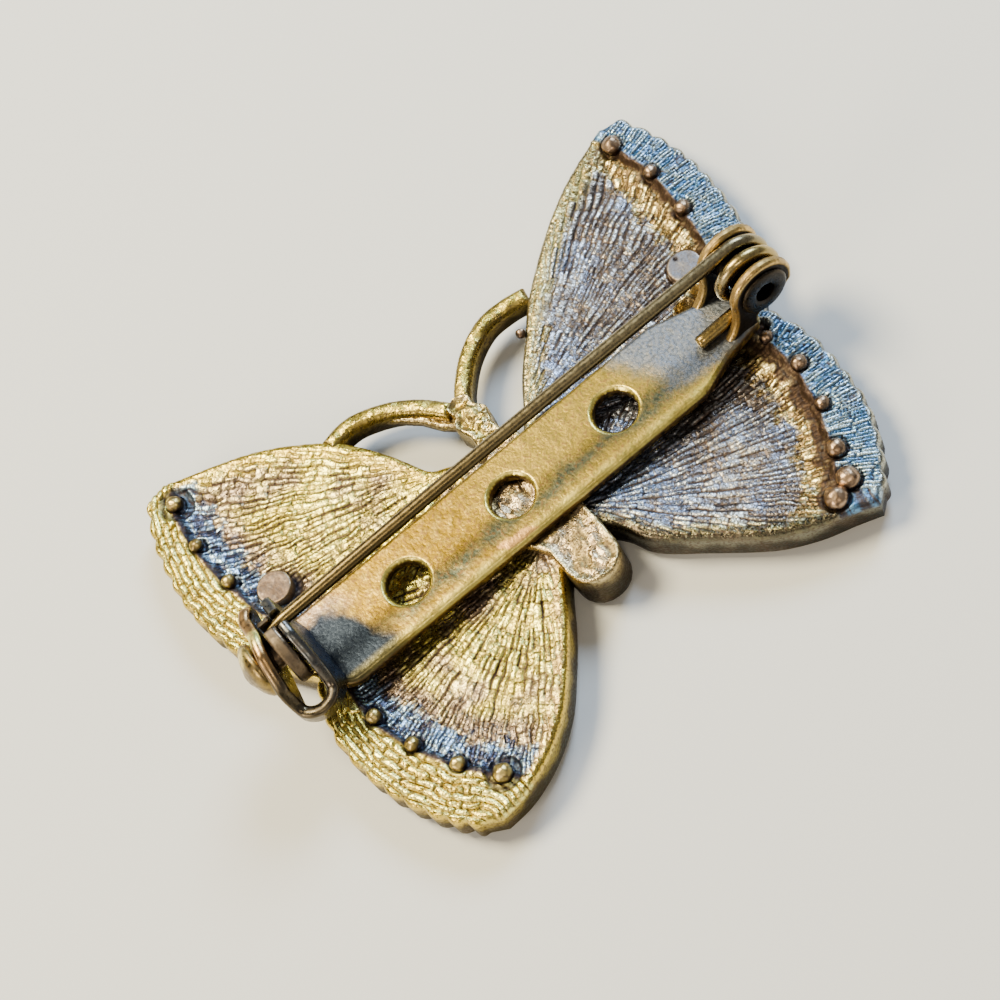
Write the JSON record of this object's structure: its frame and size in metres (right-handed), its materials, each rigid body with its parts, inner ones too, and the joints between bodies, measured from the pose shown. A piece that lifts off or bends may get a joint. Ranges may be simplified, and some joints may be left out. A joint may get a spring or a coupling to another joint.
{
  "type": "butterfly brooch",
  "caption": "Cast brass butterfly brooch lying face down, with a soldered bar pin, coiled hinge and turning safety catch on its back.",
  "frame": {"origin": "centre of the box, on the surface that the brooch lies on face down", "axes": "+X from the catch to the hinge, +Y from the tail to the head, +Z out of the back of the brooch"},
  "size_m": [0.0343, 0.0264, 0.0075],
  "materials": {
    "cast_brass": "tarnished casting with a soldered ochre pin bar",
    "rivet_brass": "dull brass",
    "wire_brass": "drawn wire, darkened",
    "catch_brass": "worn bright brass"
  },
  "bodies": {
    "brooch": {"brooch_body": "cast_brass", "hinge_rivet": "rivet_brass"},
    "pin": {"pin_wire": "wire_brass"},
    "catch": {"catch_rotor": "catch_brass"}
  },
  "joints": [
    {"name": "pin swing", "type": "hinge", "parent": "brooch", "child": "pin", "pos_m": [0.01405, -0.00025, 0.00555], "axis": [0, 1, 0], "range_deg": [0, 60]},
    {"name": "catch turn", "type": "hinge", "parent": "brooch", "child": "catch", "pos_m": [-0.01414, -0.00095, 0.00565], "axis": [1, 0, 0], "range_deg": [0, 90]}
  ]
}
